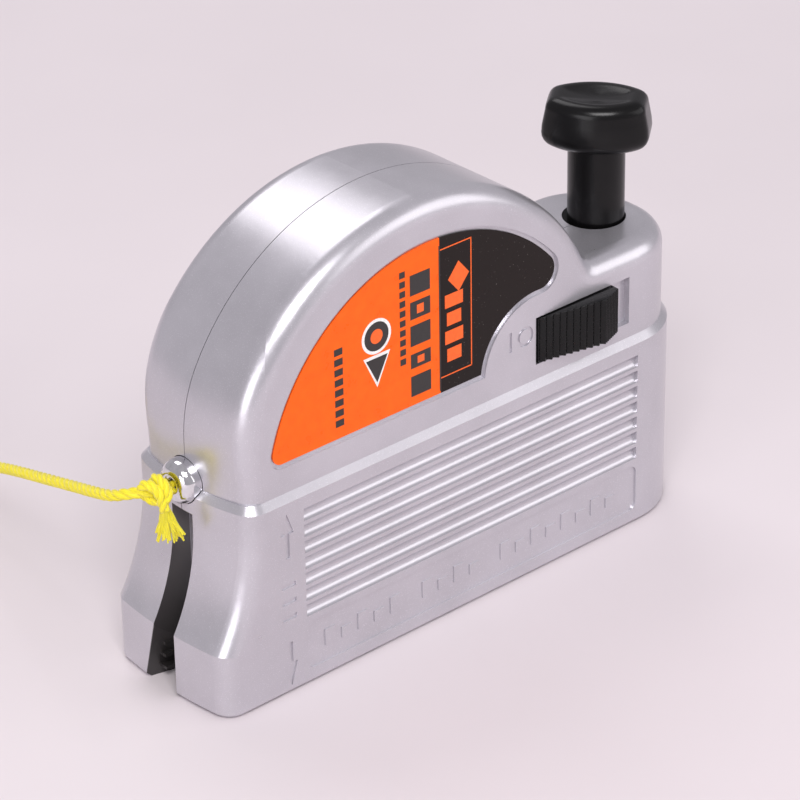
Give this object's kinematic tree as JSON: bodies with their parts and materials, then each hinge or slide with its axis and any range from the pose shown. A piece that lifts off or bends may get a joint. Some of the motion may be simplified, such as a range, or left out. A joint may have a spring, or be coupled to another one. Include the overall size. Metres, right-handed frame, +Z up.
{
  "type": "magnetic plumb line reel",
  "caption": "Silver case with a spring-rewound plumb line, a magnetic base, a sliding line lock and a black push pin, with the line out and its bob lying beside it.",
  "frame": {"origin": "centre of the flat magnetic face under the base, midway across the body's width", "axes": "+X from the nose, where the line leaves, towards the push pin; +Z up out of the base; the label and the line lock are on the -Y side"},
  "size_m": [0.1235, 0.1613, 0.0856],
  "materials": {
    "case": "satin",
    "label": "gloss film",
    "chrome": "polished",
    "steel": "satin",
    "black_plastic": "gloss",
    "inner_plastic": "matte",
    "line": "twisted fibre",
    "brass": "turned",
    "rubber": "matte",
    "magnet": "plated"
  },
  "bodies": {
    "case": {"label_side_shell": "case", "back_side_shell": "case", "side_label": "label", "case_screws": "steel", "line_ferrule": "chrome", "line_guide": "inner_plastic", "spool_axle": "steel", "spring_arbor": "steel", "lock_detent_spring": "steel", "pin_sleeve": "inner_plastic", "pin_bush": "inner_plastic", "needle_bush": "brass", "pin_spring": "steel", "front_magnet": "magnet", "rear_magnet": "magnet", "front_pole_plates": "steel", "rear_pole_plates": "steel", "front_keeper": "steel", "rear_keeper": "steel"},
    "spool": {"line_spool": "inner_plastic", "wound_line": "line", "spring_cover": "inner_plastic", "rewind_spring": "steel"},
    "line_end": {"line_run": "line", "line_knot": "line", "plumb_line": "line", "bob_cap": "brass", "plumb_bob": "steel"},
    "lock": {"lock_slider": "black_plastic", "brake_carrier": "inner_plastic", "brake_shoe": "rubber", "carrier_screw": "steel"},
    "pin": {"pin_knob": "black_plastic", "stop_ring": "steel", "pin_needle": "steel"}
  },
  "joints": [
    {"name": "line_pull", "type": "slide", "parent": "case", "child": "line_end", "axis": [-1, 0, 0], "range_m": [0, 0.04], "stiffness_N_per_m": 4, "springref_m": -0.05},
    {"name": "spool_spin", "type": "hinge", "parent": "case", "child": "spool", "pos_m": [-0.0095, 0, 0.055], "axis": [0, 1, 0], "range_deg": [0, 168]},
    {"name": "lock_slide", "type": "slide", "parent": "case", "child": "lock", "axis": [1, 0, 0], "range_m": [0, 0.004]},
    {"name": "pin_push", "type": "slide", "parent": "case", "child": "pin", "axis": [0, 0, -1], "range_m": [0, 0.0146], "stiffness_N_per_m": 250, "springref_m": -0.004, "deforming": ["pin_spring"]}
  ],
  "couplings": [
    {"joint": "spool_spin", "follows": "line_pull", "rad_per_m": 72.99}
  ]
}
